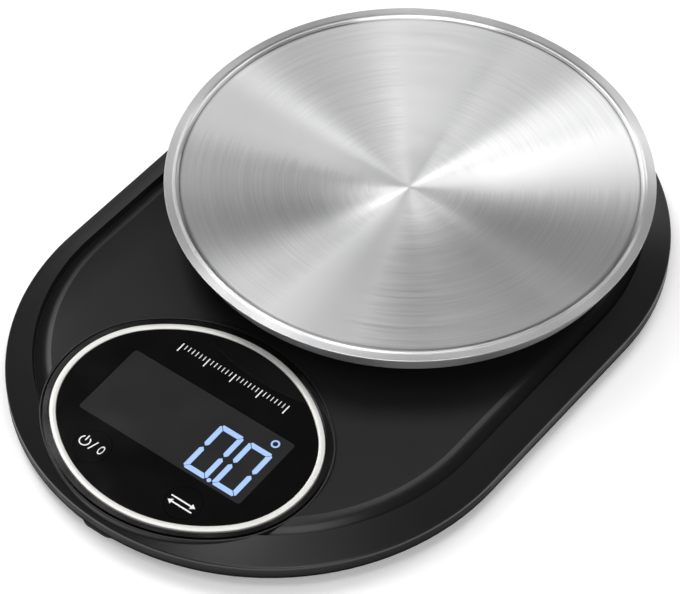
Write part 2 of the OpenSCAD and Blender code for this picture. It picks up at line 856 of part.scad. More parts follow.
module chip_cover() {
  dome_h = 1.2;
  dome_r = (cover_r * cover_r + dome_h * dome_h) / (2 * dome_h);
  color([0.04, 0.04, 0.04]) on_display(board_bottom) translate([cover_x, -cover_y, 0]) mirror([0, 0, 1])
    rotate_extrude() intersection() {
      translate([0, dome_h - dome_r]) circle(dome_r, $fn = arc_fn);
      square([cover_r + 1, 2]);
    }
}

module converter_chip() {
  leg_pitch = chip_l / 8;
  color([0.06, 0.06, 0.06]) on_display(board_bottom) translate([-chip_x, chip_y, 0]) {
    translate([-chip_l / 2, -chip_w / 2, -1.5]) cube([chip_l, chip_w, 1.4]);
    for (k = [0 : 7], side = [-1, 1])
      translate([(k - 3.5) * leg_pitch - 0.25, side * (chip_w / 2 + 0.3) - 0.6, -0.6]) cube([0.5, 1.2, 0.6]);
  }
}

module capacitors() {
  pitch = capacitor_l * 2;
  color([0.72, 0.60, 0.42]) on_display(board_bottom) {
    for (k = [0 : 2]) translate([k * pitch - capacitor_left_x, -capacitor_y, -0.9]) cube([capacitor_l, capacitor_w, 0.9]);
    for (k = [0 : 1]) translate([capacitor_right_x, capacitor_y + k * pitch, -0.9]) cube([capacitor_l, capacitor_w, 0.9]);
  }
}

module lead_sockets() {
  wall = 1;
  color([0.93, 0.92, 0.88]) on_display(board_bottom)
    for (side = [-1, 1]) translate([side * socket_x - socket_w / 2, board_back - socket_l, -socket_h])
      difference() {
        cube([socket_w, socket_l, socket_h]);
        translate([wall, socket_l - socket_depth, 0.5]) cube([socket_w - 2 * wall, socket_l, socket_h - 1]);
      }
}

module board_screws() {
  color("silver") on_display(board_bottom - 1.2) frame_posts(0)
    screw(1, 1.9, 1.2, lens_bottom - 0.7 - board_bottom);
}

// Keys

module key_cap(side) {
  color([0.03, 0.03, 0.035]) on_display() translate([side * key_x, -key_drop, 0]) {
    translate([0, 0, key_flange_top - eps]) cylinder(r = key_r, h = lens_top - key_flange_top + eps);
    translate([0, 0, key_flange_top - key_flange_t]) cylinder(r = key_flange_r, h = key_flange_t);
  }
}

module key_plunger(side) {
  top = key_flange_top - key_flange_t;
  color([0.75, 0.30, 0.20]) on_display() translate([side * key_x, -key_drop, top - 0.9])
    cylinder(r = plunger_r, h = 0.9, $fn = 48);
}

module key_switch(side) {
  bottom = key_flange_top - key_flange_t - 0.9 - key_travel - 0.1;
  color([0.20, 0.20, 0.22]) on_display() translate([side * key_x, -key_drop, board_top]) difference() {
    translate([-switch_w / 2, -switch_w / 2, 0]) cube([switch_w, switch_w, switch_h]);
    translate([0, 0, bottom - board_top]) cylinder(r = plunger_r + fit_gap, h = 5, $fn = 48);
  }
}

module power_key() { key_cap(-1); }
module power_plunger() { key_plunger(-1); }
module power_switch() { key_switch(-1); }
module unit_key() { key_cap(1); }
module unit_plunger() { key_plunger(1); }
module unit_switch() { key_switch(1); }

// Leads

cell_lead_r = 1.1;
battery_lead_r = 0.8;
socket_depth = 2;
// The leads run along the floor and end in their sockets, a little inside the mouth
plug_y = display_y + (board_back - 1.8) * cos(display_tilt) - (board_bottom - socket_h / 2) * sin(display_tilt);
plug_z = display_z + (board_back - 1.8) * sin(display_tilt) + (board_bottom - socket_h / 2) * cos(display_tilt);
cell_side_y = plate_y - cell_w / 2;
cell_lead_route = [
  [-11, cell_side_y, cell_z + 3], [-11, cell_side_y - 3, cell_z + 3], [-10.9, cell_side_y - 7, cell_z + 2],
  [-10.5, cell_side_y - 11.5, floor_z + 2.5], [-9.9, cell_side_y - 16.5, floor_z + 1.6],
  [-9.2, cell_side_y - 22, floor_z + 1.3], [-8.6, cell_side_y - 27, floor_z + 1.2],
  [-8.2, cell_side_y - 33, floor_z + 1.2], [-8, cell_side_y - 39, floor_z + 1.2],
  [-socket_x, cell_side_y - 45, floor_z + 1.2], [-socket_x, plug_y + 35, floor_z + 1.2],
  [-socket_x, plug_y + 29, floor_z + 1.2], [-socket_x, plug_y + 23, floor_z + 1.2],
  [-socket_x, plug_y + 17.5, floor_z + 1.4], [-socket_x, plug_y + 12.5, floor_z + 2],
  [-socket_x, plug_y + 8, plug_z - 1.3], [-socket_x, plug_y + 4, plug_z - 0.3], [-socket_x, plug_y, plug_z]
];
red_tab_y = battery_y + door_l / 2 + bay_wall + 1.5;
red_lead_route = [
  [battery_x, red_tab_y, 7.9], [battery_x, red_tab_y + 1.8, 7.9], [battery_x - 0.8, red_tab_y + 4.8, 7.4],
  [battery_x - 3.2, red_tab_y + 7.4, 6.6], [battery_x - 6.6, red_tab_y + 8.7, 5.8],
  [battery_x - 10.6, red_tab_y + 8.4, 5.5], [battery_x - 14.2, red_tab_y + 6.4, 5.4],
  [battery_x - 16.8, red_tab_y + 3.2, 5.4], [18 - door_w / 10, red_tab_y - 0.9, 5.4],
  [14.6, battery_y + 11, 5.4], [13.4, battery_y + 6, 5.4], [12.4, battery_y + 1, 5.4], [11.6, battery_y - 4, 5.4],
  [11, battery_y - 9, 5.4], [10.6, battery_y - 14, 5.4], [10.2, plug_y + 27, 5.4],
  [9.9, plug_y + 22, 5.6], [9.5, plug_y + 17, 6.1], [socket_x + 1.2, plug_y + 12, 6.9],
  [socket_x + 1.1, plug_y + 7.5, 7.9], [socket_x + 1, plug_y + 3.5, 8.6], [socket_x + 1, plug_y, plug_z]
];
black_tab_x = battery_x - door_w / 2 - bay_wall - 1.5;
black_lead_route = [
  [black_tab_x, battery_y, 8.2], [black_tab_x - 1.4, battery_y, 8.2], [black_tab_x - 3.4, battery_y - 0.8, 8],
  [black_tab_x - 5, battery_y - 2.8, 7.8], [black_tab_x - 6.2, battery_y - 6, 7.6],
  [black_tab_x - 7, battery_y - 10, 7.1], [8.2, battery_y - 14.5, 6.3], [7.8, plug_y + 27, 5.7],
  [7.5, plug_y + 22, 5.6], [7.2, plug_y + 17, 6.1], [socket_x - 0.9, plug_y + 12, 6.9],
  [socket_x - 1, plug_y + 7.5, 7.9], [socket_x - 1, plug_y + 3.5, 8.6], [socket_x - 1, plug_y, plug_z]
];

// Points of a ring of given sides round one point of a route
function ring_points(route, k, r, sides) =
  let (
    ahead = route[min(k + 1, len(route) - 1)] - route[max(k - 1, 0)],
    along = ahead / norm(ahead),
    flat = cross([0, 0, 1], along),
    across = flat / norm(flat),
    up = cross(along, across)
  )
  [for (j = [0 : sides - 1]) route[k] + r * cos(360 * j / sides) * across + r * sin(360 * j / sides) * up];

// A tube of one skin along a route
module tube(route, r, sides = 8) {
  count = len(route);
  points = [for (k = [0 : count - 1]) each ring_points(route, k, r, sides)];
  walls = [
    for (k = [0 : count - 2], j = [0 : sides - 1])
      let (a = k * sides + j, b = k * sides + (j + 1) % sides)
      each [[a, b, b + sides], [a, b + sides, a + sides]]
  ];
  ends = [[for (j = [0 : sides - 1]) sides - 1 - j], [for (j = [0 : sides - 1]) (count - 1) * sides + j]];
  polyhedron(points, concat(walls, ends), convexity = 4);
}

module load_cell_lead() {
  color([0.75, 0.75, 0.76]) tube(cell_lead_route, cell_lead_r);
}

module red_lead() {
  color([0.70, 0.08, 0.08]) tube(red_lead_route, battery_lead_r);
}

module black_lead() {
  color([0.06, 0.06, 0.06]) tube(black_lead_route, battery_lead_r);
}

lower_housing();
upper_housing();
housing_screws();
rubber_feet();
load_cell();
gauge_coating();
cell_screws();
load_cell_lead();
platform_tray();
platform_screws();
plate_tape();
weighing_plate();
battery_door();
coin_cell();
positive_contact();
negative_contact();
red_lead();
black_lead();
display_frame();
display_ring();
display_lens();
display_window();
lit_digits();
lcd_glass();
backlight();
contact_strip();
circuit_board();
chip_cover();
converter_chip();
capacitors();
lead_sockets();
board_screws();
power_key();
power_plunger();
power_switch();
unit_key();
unit_plunger();
unit_switch();
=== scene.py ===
"""Digital kitchen scale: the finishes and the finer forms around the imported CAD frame."""

import math

import bmesh
import bpy
from mathutils import Matrix, Vector


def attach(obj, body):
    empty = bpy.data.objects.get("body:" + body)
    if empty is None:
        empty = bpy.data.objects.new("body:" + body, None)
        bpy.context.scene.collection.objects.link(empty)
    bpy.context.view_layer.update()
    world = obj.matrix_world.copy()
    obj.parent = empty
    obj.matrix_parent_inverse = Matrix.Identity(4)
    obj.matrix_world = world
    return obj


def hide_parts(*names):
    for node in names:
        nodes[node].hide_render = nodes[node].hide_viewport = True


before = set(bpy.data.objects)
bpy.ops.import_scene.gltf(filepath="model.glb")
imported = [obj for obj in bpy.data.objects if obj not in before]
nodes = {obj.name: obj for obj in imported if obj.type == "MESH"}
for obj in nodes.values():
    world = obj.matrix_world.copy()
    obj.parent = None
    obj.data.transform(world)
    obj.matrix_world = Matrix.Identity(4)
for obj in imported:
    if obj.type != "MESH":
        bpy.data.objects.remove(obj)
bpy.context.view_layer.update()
MM = 0.001

# Sizes of the CAD model, in millimetres
SPINE = 36.4
RIM_R, RIM_Z, SEAM_Z = 84.8, 9.8, 8.6
BORDER_R, BORDER_Z = 75.9, 14.6
TOP_R, TOP_Z = 70.0, 15.4
CHANNEL_R = 3.1
COVER_WALL, COVER_INSET, COVER_SEAT_R = 2.0, 6, 82.4
POST_HOLE_X, POST_HOLE_W, POST_HOLE_H, POST_HOLE_ROUND = 21.5, 26, 17, 2

PLATE_Y, PLATE_R = 34.65, 79.4
SKIRT_Z, EDGE_Z = 25.2, 33.2
SKIRT_LEAN = 4.0
DISH_FLAT_R, DISH_CURVE_R, DISH_SLOPE = 10.0, 31.0, math.radians(5)
FIELD_R = 74.4
FIELD_Z = EDGE_Z - 0.5
BEAD_R, BEAD_Z, BEAD_ROUND = 75.6, 33.5, 1.0
STEEL = 0.7

RING_A, RING_B, RING_END = 45.7, 37.5, 31.8
RING_W, RING_DEEP, RING_ROUND = 2.1, 1.4, 0.28
DISPLAY_Y, DISPLAY_Z, DISPLAY_TILT = -79.5, 16.1, math.radians(3)
LENS_TOP, WINDOW_TOP = -0.15, -0.35
WINDOW_H = 28.0
COLLAR_IN, COLLAR_OUT, COLLAR_TOP = 2.6, 3.2, -0.5
COLLAR_LOW, COLLAR_LOW_IN, CAP_SEAT = -8.0, 1.8, -2.1

# Sizes of the lit figures and the printed marks, in millimetres
DIGIT_W, DIGIT_H, DIGIT_STROKE, DIGIT_CHAMFER = 9.2, 19.6, 1.75, 0.9
DIGIT_PITCH, DIGIT_BASE, DIGIT_RIGHT = 11.2, -2.9, 24.4
DIGIT_GAP, DIGIT_BREAK = 0.16, 0.35
POINT_R, STEADY_OUT_R, STEADY_IN_R = 0.72, 1.45, 0.9
POWER_MARK, POWER_R, POWER_LINE = (-21.4, -23.0), 1.75, 0.42
POWER_OPEN = 34     # half of the symbol's gap, in degrees
UNIT_MARK, ARROW_REACH, ARROW_APART = (17.8, -24.0), 4.6, 0.95
ARROW_LINE, ARROW_HEAD, ARROW_HEAD_W = 0.25, 1.6, 1.05
TICK_COUNT, TICK_LONG_EVERY, TICK_LEFT, TICK_PITCH, TICK_TOP = 29, 7, -21, 1.5, 24.6
TICK_LONG, TICK_LONG_W, TICK_SHORT, TICK_SHORT_W = 3.6, 0.42, 1.9, 0.28

# Painted highlights: fans of sheen painted into the brushed steel's base colour: bearing from +X in
# degrees, strength and closeness
PAINTED_SHEEN_FANS = ((44, 0.85, 17.0), (117, 0.92, 14.0), (192, 0.90, 12.0), (228, -0.36, 7.0),
              (281, 0.98, 18.0))
# The painted sheen's level away from the fans, its upper end, and the reach of the painted bright middle
PAINTED_SHEEN_BASE, PAINTED_SHEEN_MOST = 0.76, 1.5
PAINTED_HIGHLIGHT_MIDDLE_R = 0.020     # metres
# The steel's grey on the rim, what the dish adds, its swing with the grain, and its upper end
GREY_RIM, GREY_DISH, GREY_SWING, GREY_MOST = 0.63, 0.06, 0.075, 0.96
# Painted shade on the skirt, all round and more on its darkest side: that side's bearing and closeness
SKIRT_PAINTED_SHADE, SKIRT_SIDE_PAINTED_SHADE, SKIRT_SHADE_BEARING, SKIRT_SHADE_CLOSE = 0.22, 0.38, 238, 7.0
# A painted shade line in the crease: its radius in millimetres, its width in metres, and its depth
CREASE_SHADE_R, CREASE_SHADE_W, CREASE_SHADE_DEPTH = FIELD_R - 0.15, 0.00060, 0.32

# The housing's shine, how much of it the side wall loses, what is left on the far left, and
# what the rim gains
HOUSING_SHINE, LEFT_DULL, RIGHT_DULL, FAR_SHINE, RIM_SHINE = 0.27, 0.90, 0.55, 0.08, 0.40
# Where it changes, by height or across, in metres
WALL_SHINE_Z, FOOT_SHINE_Z = (0.0084, 0.0098), (0.0056, 0.0090)
LEFT_SHINE_X, RIGHT_SHINE_X, FAR_SHINE_X = (-0.045, 0.0), (0.060, 0.080), (-0.081, -0.058)
RIM_SHINE_Z, RIM_SHINE_W = 0.0095, 0.0004

# Soft lights: name, bearing from +X and height in degrees, watts, and width and height in metres
LIGHTS = (("overhead", 0, 88, 5.0, 1.2, 1.2),
          ("back_low", 90, 22, 2.6, 0.62, 0.66),
          ("back_mid", 80, 50, 3.6, 0.62, 0.66),
          ("back_high", 90, 68, 3.8, 0.62, 0.66),
          ("left_low", 158, 33, 3.2, 0.62, 0.66),
          ("left_mid", 167, 48, 6.4, 0.62, 0.66),
          ("left_high", 176, 62, 6.6, 0.62, 0.66),
          ("front_high", 270, 68, 5.5, 0.62, 0.66),
          ("right_front", 315, 40, 12.5, 1.0, 1.0))
LIGHT_AWAY = 1.8
LIGHT_AIM = (0, 0.02, 0.02)


# ---------------------------------------------------------------- outlines and sections

def arc(centre, radius, first, last, steps):
    """Points of an arc, with both ends."""
    return [(centre[0] + radius * math.cos(first + (last - first) * k / steps),
             centre[1] + radius * math.sin(first + (last - first) * k / steps))
            for k in range(steps + 1)]


def base_outline(reach):
    """The stadium of the base, reach from its spine."""
    half = 96
    return (arc((0, SPINE), reach, 0, math.pi, half) +
            arc((0, -SPINE), reach, math.pi, 2 * math.pi, half))


def oval_outline(grow):
    """The display's outline of four arcs, moved outwards by grow."""
    end = RING_A - RING_END
    flank = (end * end + RING_B * RING_B - RING_END * RING_END) / (2 * (RING_B - RING_END))
    shift = flank - RING_B
    turn = math.atan2(shift, end)
    sectors = [((end, 0), RING_END, -turn, turn), ((0, -shift), flank, turn, math.pi - turn),
               ((-end, 0), RING_END, math.pi - turn, math.pi + turn),
               ((0, shift), flank, math.pi + turn, 2 * math.pi - turn)]
    points = []
    for centre, radius, first, last in sectors:
        points += arc(centre, radius + grow, first, last, 60)[:-1]
    return points


def circle_outline(radius, steps=360):
    """Points of a circle about the origin."""
    return [(radius * math.cos(2 * math.pi * k / steps), radius * math.sin(2 * math.pi * k / steps))
            for k in range(steps)]


def rounded(corners, steps=5):
    """A section's points: each corner is (out, height, radius), and the section is open."""
    points = []
    for k, (x, y, radius) in enumerate(corners):
        if radius == 0 or k in (0, len(corners) - 1):
            points.append((x, y))
            continue
        here = Vector((x, y))
        before = (Vector(corners[k - 1][:2]) - here).normalized()
        after = (Vector(corners[k + 1][:2]) - here).normalized()
        half = before.angle(after) / 2
        run = radius / math.tan(half)
        centre = here + (before + after).normalized() * (radius / math.sin(half))
        first, last = here + before * run - centre, here + after * run - centre
        sweep = first.angle_signed(last)
        for s in range(steps + 1):
            p = first.copy()
            p.rotate(Matrix.Rotation(-sweep * s / steps, 2))
            points.append(tuple(centre + p))
    return points


# ---------------------------------------------------------------- meshes

def display_place():
    """From the display's own plane to the frame."""
    return (Matrix.Translation((0, DISPLAY_Y * MM, DISPLAY_Z * MM)) @
            Matrix.Rotation(DISPLAY_TILT, 4, "X"))


def piece(name, bm, place=None, sharp=30):
    """A new object from a bmesh in millimetres."""
    bmesh.ops.recalc_face_normals(bm, faces=bm.faces[:])
    mesh = bpy.data.meshes.new(name)
    bm.to_mesh(mesh)
    bm.free()
    mesh.transform(Matrix.Scale(MM, 4))
    if place is not None:
        mesh.transform(place)
    for face in mesh.polygons:
        face.use_smooth = True
    mesh.set_sharp_from_angle(angle=math.radians(sharp))
    made = bpy.data.objects.new(name, mesh)
    bpy.context.scene.collection.objects.link(made)
    return made


def swept(name, outline, section, closed=True, caps=(False, False), place=None, sharp=30):
    """A section carried round an outline. With caps, the first and last loops are filled."""
    bm = bmesh.new()
    loops = [[bm.verts.new((x, y, z)) for x, y in outline(reach)] for reach, z in section]
    rows = list(zip(loops, loops[1:] + loops[:1])) if closed else list(zip(loops, loops[1:]))
    for a, b in rows:
        count = len(a)
        for k in range(count):
            n = (k + 1) % count
            bm.faces.new((a[k], a[n], b[n], b[k]))
    for want, loop in zip(caps, (loops[0], loops[-1])):
        if want:
            bm.faces.new(loop)
    return piece(name, bm, place, sharp)


def prism(bm, points, low, high):
    """A closed flat shape between two heights."""
    bottom = [bm.verts.new((x, y, low)) for x, y in points]
    top = [bm.verts.new((x, y, high)) for x, y in points]
    count = len(points)
    for k in range(count):
        n = (k + 1) % count
        bm.faces.new((bottom[k], bottom[n], top[n], top[k]))
    bm.faces.new(top)
    bm.faces.new(list(reversed(bottom)))


def rounded_rectangle(width, height, radius, centre, steps=8):
    """Points of a rectangle with round corners."""
    points = []
    for k, (sx, sy) in enumerate(((1, 1), (-1, 1), (-1, -1), (1, -1))):
        corner = (centre[0] + sx * (width / 2 - radius), centre[1] + sy * (height / 2 - radius))
        points += arc(corner, radius, k * math.pi / 2, (k + 1) * math.pi / 2, steps)
    return points


def cut(target, cutter):
    """Takes cutter out of target, and removes it."""
    modifier = target.modifiers.new("cut", "BOOLEAN")
    modifier.operation = "DIFFERENCE"
    modifier.solver = "EXACT"
    modifier.object = cutter
    bpy.context.view_layer.update()
    graph = bpy.context.evaluated_depsgraph_get()
    mesh = bpy.data.meshes.new_from_object(target.evaluated_get(graph))
    target.modifiers.clear()
    old = target.data
    target.data = mesh
    mesh.name = target.name
    bpy.data.meshes.remove(old)
    bpy.data.objects.remove(cutter)


def soft_edges(name, width):
    """Small rounded edges on a CAD node, by modifiers alone."""
    o = nodes[name]
    weld = o.modifiers.new("weld", "WELD")
    weld.merge_threshold = 1e-6
    bevel = o.modifiers.new("edges", "BEVEL")
    bevel.width = width * MM
    bevel.segments = 2
    bevel.limit_method = "ANGLE"
    bevel.angle_limit = math.radians(35)
    bevel.harden_normals = True


# ---------------------------------------------------------------- materials

class Finish:
    """A node material round one Principled shader."""

    def __init__(self, name, colour, roughness, metallic=0.0, specular=0.5):
        self.material = bpy.data.materials.new(name)
        self.material.use_nodes = True
        self.tree = self.material.node_tree
        self.tree.nodes.clear()
        self.out = self.add("ShaderNodeOutputMaterial")
        self.shader = self.add("ShaderNodeBsdfPrincipled")
        self.link(self.shader.outputs["BSDF"], self.out.inputs["Surface"])
        self.set("Base Color", (*colour, 1))
        self.set("Roughness", roughness)
        self.set("Metallic", metallic)
        self.set("IOR", 1.5)
        self.set("Specular IOR Level", specular)
        self.where = self.add("ShaderNodeTexCoord").outputs["Object"]

    def add(self, kind, **settings):
        """A new node with these settings."""
        node = self.tree.nodes.new(kind)
        for key, value in settings.items():
            setattr(node, key, value)
        return node

    def link(self, a, b):
        self.tree.links.new(a, b)

    def set(self, name, value):
        """A value that is the same all over the surface."""
        self.shader.inputs[name].default_value = value

    def feed(self, socket, value):
        """Gives a socket a number, a colour or another node's output."""
        if isinstance(value, (int, float, tuple, Vector)):
            socket.default_value = value
        else:
            self.link(value, socket)

    def math(self, operation, *values):
        node = self.add("ShaderNodeMath", operation=operation)
        for socket, value in zip(node.inputs, values):
            self.feed(socket, value)
        return node.outputs[0]

    def split(self, vector):
        """The x, y and z of a vector."""
        node = self.add("ShaderNodeSeparateXYZ")
        self.link(vector, node.inputs[0])
        return node.outputs[0], node.outputs[1], node.outputs[2]

    def bell(self, value, centre, width):
        """1 at the centre, falling softly to 0 over the width on either side."""
        off = self.math("DIVIDE", self.math("SUBTRACT", value, centre), width)
        return self.math("POWER", math.e, self.math("MULTIPLY", self.math("MULTIPLY", off, off), -1.0))

    def fan(self, x, y, bearing, close):
        """1 where the direction x, y has this bearing, and less to both sides."""
        turn = math.radians(bearing)
        along = self.math("ADD", self.math("MULTIPLY", x, math.cos(turn)),
                          self.math("MULTIPLY", y, math.sin(turn)))
        return self.math("POWER", math.e, self.math("MULTIPLY", self.math("SUBTRACT", along, 1.0), close))

    def less(self, value, share, mask):
        """The value, lowered by this share where the mask is 1."""
        return self.math("MULTIPLY", value, self.math("SUBTRACT", 1.0, self.math("MULTIPLY", mask, share)))

    def noise(self, scale, detail=2.0, roughness=0.5, where=None):
        node = self.add("ShaderNodeTexNoise")
        self.link(where or self.where, node.inputs["Vector"])
        node.inputs["Scale"].default_value = scale
        node.inputs["Detail"].default_value = detail
        node.inputs["Roughness"].default_value = roughness
        return node.outputs["Fac"]

    def spread(self, value, low, high, start=0.3, end=0.7):
        """Maps start..end onto low..high, and holds it there."""
        node = self.add("ShaderNodeMapRange")
        self.link(value, node.inputs["Value"])
        for key, number in (("From Min", start), ("From Max", end), ("To Min", low), ("To Max", high)):
            node.inputs[key].default_value = number
        return node.outputs["Result"]

    def mix(self, share, a, b):
        """A colour between a and b."""
        node = self.add("ShaderNodeMix", data_type="RGBA")
        self.feed(node.inputs[0], share)
        self.feed(node.inputs[6], a)
        self.feed(node.inputs[7], b)
        return node.outputs[2]

    def bump(self, height, strength, distance):
        node = self.add("ShaderNodeBump")
        node.inputs["Strength"].default_value = strength
        node.inputs["Distance"].default_value = distance
        self.link(height, node.inputs["Height"])
        return node.outputs["Normal"]

    def to(self, name, value):
        """A value that changes over the surface."""
        self.link(value, self.shader.inputs[name])


def plain(name, colour, roughness, metallic=0.0, specular=0.5, grain=2500, depth=0.15, tone=0.12,
          gloss=0.06, blotch=90):
    """A finish with fine grain, slow changes of tone and of gloss."""
    f = Finish(name, colour, roughness, metallic, specular)
    fine = f.noise(grain, 3.0, 0.6)
    slow = f.noise(blotch, 3.0, 0.5)
    light = tuple(min(1.0, c * (1 + tone)) for c in colour)
    dark = tuple(c * (1 - tone) for c in colour)
    f.to("Base Color", f.mix(f.spread(slow, 0, 1), (*dark, 1), (*light, 1)))
    f.to("Roughness", f.spread(slow, roughness - gloss, roughness + gloss))
    f.to("Normal", f.bump(fine, depth, 0.00002))
    return f


def brushed_steel():
    """Steel brushed in circles about the plate's middle, with painted highlights and painted shade in its
    base colour.
    """
    f = Finish("brushed_steel", (0.62, 0.62, 0.63), 0.31, metallic=1.0)
    f.set("Anisotropic", 1.0)
    f.set("Anisotropic Rotation", 0.25)
    tangent = f.add("ShaderNodeTangent", direction_type="RADIAL", axis="Z")
    f.to("Tangent", tangent.outputs[0])
    # Polar coordinates about the plate's axis: long in angle, fine in radius
    move = f.add("ShaderNodeVectorMath", operation="SUBTRACT")
    f.link(f.where, move.inputs[0])
    move.inputs[1].default_value = (0, PLATE_Y * MM, 0)
    flat = f.add("ShaderNodeVectorMath", operation="MULTIPLY")
    f.link(move.outputs[0], flat.inputs[0])
    flat.inputs[1].default_value = (1, 1, 0)
    length = f.add("ShaderNodeVectorMath", operation="LENGTH")
    f.link(flat.outputs[0], length.inputs[0])
    unit = f.add("ShaderNodeVectorMath", operation="NORMALIZE")
    f.link(flat.outputs[0], unit.inputs[0])
    x, y, _ = f.split(unit.outputs[0])
    _, _, height = f.split(f.where)
    radius = length.outputs[1]

    def streaks(lines, turns, detail):
        """Noise with lines per metre of radius, and turns changes round the circle."""
        join = f.add("ShaderNodeCombineXYZ")
        f.link(f.math("MULTIPLY", x, turns), join.inputs[0])
        f.link(f.math("MULTIPLY", y, turns), join.inputs[1])
        f.link(f.math("MULTIPLY", f.math("ADD", radius, height), lines), join.inputs[2])
        return f.noise(1.0, detail, 0.65, join.outputs[0])

    fine = streaks(7000, 2.2, 3.0)
    wide = streaks(1100, 1.1, 3.0)
    both = f.math("ADD", f.math("MULTIPLY", fine, 0.6), f.math("MULTIPLY", wide, 0.4))
    # Painted highlights: fans of sheen and a bright middle, painted into the base colour
    painted_light = PAINTED_SHEEN_BASE
    for bearing, strength, close in PAINTED_SHEEN_FANS:
        painted_light = f.math("ADD", f.math("MULTIPLY", f.fan(x, y, bearing, close), strength), painted_light)
    painted_light = f.math("MINIMUM", painted_light, PAINTED_SHEEN_MOST)
    middle = f.bell(radius, 0.0, PAINTED_HIGHLIGHT_MIDDLE_R)
    painted_light = f.math("ADD", painted_light, f.math("MULTIPLY", f.math("SUBTRACT", PAINTED_SHEEN_MOST, painted_light), middle))
    # The grain lies in the dish. The rim is smooth, and the skirt is darkened with painted shade, most on
    # its left
    field = f.spread(radius, 1.0, 0.0, (FIELD_R - 0.8) * MM, FIELD_R * MM)
    skirt = f.spread(height, 1.0, 0.0, (EDGE_Z - 0.7) * MM, (EDGE_Z - 0.3) * MM)
    skirt = f.math("MULTIPLY", skirt, f.math("SUBTRACT", 1.0, field))
    side = f.fan(x, y, SKIRT_SHADE_BEARING, SKIRT_SHADE_CLOSE)
    painted_skirt_shade = f.math("ADD", SKIRT_PAINTED_SHADE, f.math("MULTIPLY", side, SKIRT_SIDE_PAINTED_SHADE))
    painted_light = f.less(painted_light, painted_skirt_shade, skirt)
    # A painted shade line in the crease between the dish and the bead
    painted_light = f.less(painted_light, CREASE_SHADE_DEPTH, f.bell(radius, CREASE_SHADE_R * MM, CREASE_SHADE_W))
    swing = f.spread(both, -GREY_SWING, GREY_SWING, 0.35, 0.65)
    grain = f.math("ADD", f.math("ADD", GREY_RIM, f.math("MULTIPLY", field, GREY_DISH)),
                   f.math("MULTIPLY", swing, field))
    grey = f.math("MINIMUM", f.math("MULTIPLY", grain, painted_light), GREY_MOST)
    f.to("Base Color", f.mix(grey, (0, 0, 0, 1), (0.99, 0.99, 1.0, 1)))
    f.to("Roughness", f.spread(wide, 0.29, 0.33))
    f.to("Normal", f.bump(f.math("MULTIPLY", both, field), 0.12, 0.00001))
    return f


FINISHES = {
    "housing_black": plain("housing_black", (0.0112, 0.0108, 0.0112), 0.31, specular=HOUSING_SHINE,
                           grain=3200, depth=0.25, tone=0.04, gloss=0.012, blotch=40),
    "plate_steel": brushed_steel(),
    "lens_black": plain("lens_black", (0.0022, 0.0022, 0.0024), 0.07,
                        grain=60, depth=0.02, gloss=0.02, tone=0.2),
    "window_smoke": plain("window_smoke", (0.0205, 0.0205, 0.0207), 0.10,
                          grain=60, depth=0.02, gloss=0.02, tone=0.04),
    "bezel_black": plain("bezel_black", (0.004, 0.004, 0.0045), 0.16, grain=900, depth=0.03, gloss=0.04),
    "ring_silver": plain("ring_silver", (0.63, 0.62, 0.595), 0.42, 0.3, grain=2600, depth=0.06, tone=0.03),
    "digit_blue": plain("digit_blue", (0.06, 0.10, 0.16), 0.35, grain=4000, depth=0.02, tone=0.05),
    "foot_rubber": plain("foot_rubber", (0.012, 0.012, 0.013), 0.75, grain=5200, depth=0.5, tone=0.2),
    "dark_screw": plain("dark_screw", (0.10, 0.10, 0.11), 0.36, 1.0, grain=3000, depth=0.1),
    "plated_screw": plain("plated_screw", (0.62, 0.62, 0.60), 0.28, 1.0, grain=3000, depth=0.1),
    "cell_aluminium": plain("cell_aluminium", (0.60, 0.61, 0.63), 0.34, 1.0, grain=4200, depth=0.2),
    "white_silicone": plain("white_silicone", (0.78, 0.78, 0.75), 0.45, grain=700, depth=0.4, tone=0.04),
    "white_foam": plain("white_foam", (0.80, 0.80, 0.77), 0.92, grain=3800, depth=0.9, tone=0.05),
    "lead_grey": plain("lead_grey", (0.22, 0.22, 0.23), 0.5, grain=1800, depth=0.2),
    "lead_red": plain("lead_red", (0.50, 0.02, 0.015), 0.42, grain=1800, depth=0.1),
    "lead_black": plain("lead_black", (0.016, 0.016, 0.017), 0.42, grain=1800, depth=0.1),
    "cell_can": plain("cell_can", (0.68, 0.68, 0.66), 0.26, 1.0, grain=2200, depth=0.15),
    "contact_metal": plain("contact_metal", (0.72, 0.66, 0.50), 0.30, 1.0, grain=2600, depth=0.1),
    "lcd_grey": plain("lcd_grey", (0.10, 0.12, 0.13), 0.12, grain=200, depth=0.02),
    "diffuser_white": plain("diffuser_white", (0.80, 0.82, 0.84), 0.40, grain=1500, depth=0.1, tone=0.03),
    "strip_rubber": plain("strip_rubber", (0.16, 0.16, 0.18), 0.70, grain=3600, depth=0.3),
    "board_green": plain("board_green", (0.012, 0.11, 0.045), 0.38,
                         grain=900, depth=0.25, blotch=300, tone=0.25),
    "epoxy_black": plain("epoxy_black", (0.010, 0.010, 0.010), 0.30, grain=1200, depth=0.15, tone=0.2),
    "capacitor_tan": plain("capacitor_tan", (0.42, 0.30, 0.17), 0.40, grain=2600, depth=0.1),
    "socket_nylon": plain("socket_nylon", (0.80, 0.78, 0.70), 0.48, grain=1500, depth=0.1, tone=0.03),
    "plunger_red": plain("plunger_red", (0.42, 0.07, 0.04), 0.42, grain=1500, depth=0.1),
}
MARK = plain("printed_white", (0.80, 0.80, 0.80), 0.55, grain=5200, depth=0.12, tone=0.03)


def dull_panel_edges():
    """The panel's cut edges don't shine."""
    f = FINISHES["lens_black"]
    _, _, up = f.split(f.add("ShaderNodeNewGeometry").outputs["True Normal"])
    f.to("Specular IOR Level", f.spread(up, 0.0, 0.5, 0.80, 0.95))


